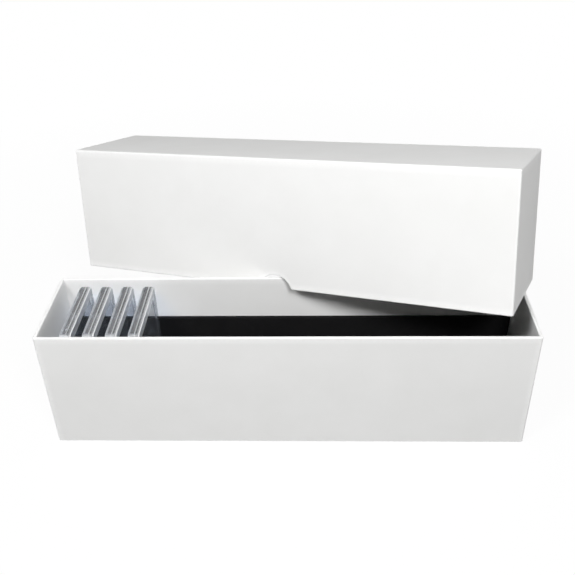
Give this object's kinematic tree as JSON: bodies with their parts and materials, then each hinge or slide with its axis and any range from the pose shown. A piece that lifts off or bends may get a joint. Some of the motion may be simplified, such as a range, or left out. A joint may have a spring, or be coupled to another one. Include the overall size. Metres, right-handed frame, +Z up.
{
  "type": "coin slab storage box",
  "caption": "Long white wrapped-board box with a full-depth lift-off lid and thumb notches, black foam pads and upright clear coin slabs.",
  "frame": {"origin": "middle of the base's flat underside", "axes": "+X along the box's length, towards the end that the lid lies across; +Y from the front wall to the back wall; +Z up"},
  "size_m": [0.3604, 0.2371, 0.2085],
  "materials": {
    "white_wrap": "gloss",
    "white_lining": "satin",
    "greyboard": "matte",
    "corner_tape": "matte",
    "black_foam": "matte",
    "clear_shell": "polished",
    "clear_core": "satin"
  },
  "bodies": {
    "base": {"base_floor_board": "greyboard", "base_long_boards": "greyboard", "base_end_boards": "greyboard", "base_corner_stays": "corner_tape", "base_wrap": "white_wrap", "base_bottom_sheet": "white_wrap", "base_linings": "white_lining", "front_pad": "black_foam", "back_pad": "black_foam", "floor_pad": "black_foam"},
    "lid": {"lid_top_board": "greyboard", "lid_long_boards": "greyboard", "lid_end_boards": "greyboard", "lid_corner_stays": "corner_tape", "lid_wrap": "white_wrap", "lid_lining": "white_lining"},
    "slab_1": {"slab_1_front_shell": "clear_shell", "slab_1_rear_shell": "clear_shell", "slab_1_core": "clear_core"},
    "slab_2": {"slab_2_front_shell": "clear_shell", "slab_2_rear_shell": "clear_shell", "slab_2_core": "clear_core"},
    "slab_3": {"slab_3_front_shell": "clear_shell", "slab_3_rear_shell": "clear_shell", "slab_3_core": "clear_core"},
    "slab_4": {"slab_4_front_shell": "clear_shell", "slab_4_rear_shell": "clear_shell", "slab_4_core": "clear_core"}
  },
  "joints": [
    {"name": "lid_lift", "type": "slide", "parent": "base", "child": "lid", "axis": [0, 0, 1], "range_m": [0, 0.12]},
    {"name": "slab_1_lift", "type": "slide", "parent": "base", "child": "slab_1", "axis": [0, 0, 1], "range_m": [0, 0.095]},
    {"name": "slab_2_lift", "type": "slide", "parent": "base", "child": "slab_2", "axis": [0, 0, 1], "range_m": [0, 0.095]},
    {"name": "slab_3_lift", "type": "slide", "parent": "base", "child": "slab_3", "axis": [0, 0, 1], "range_m": [0, 0.095]},
    {"name": "slab_4_lift", "type": "slide", "parent": "base", "child": "slab_4", "axis": [0, 0, 1], "range_m": [0, 0.095]}
  ]
}
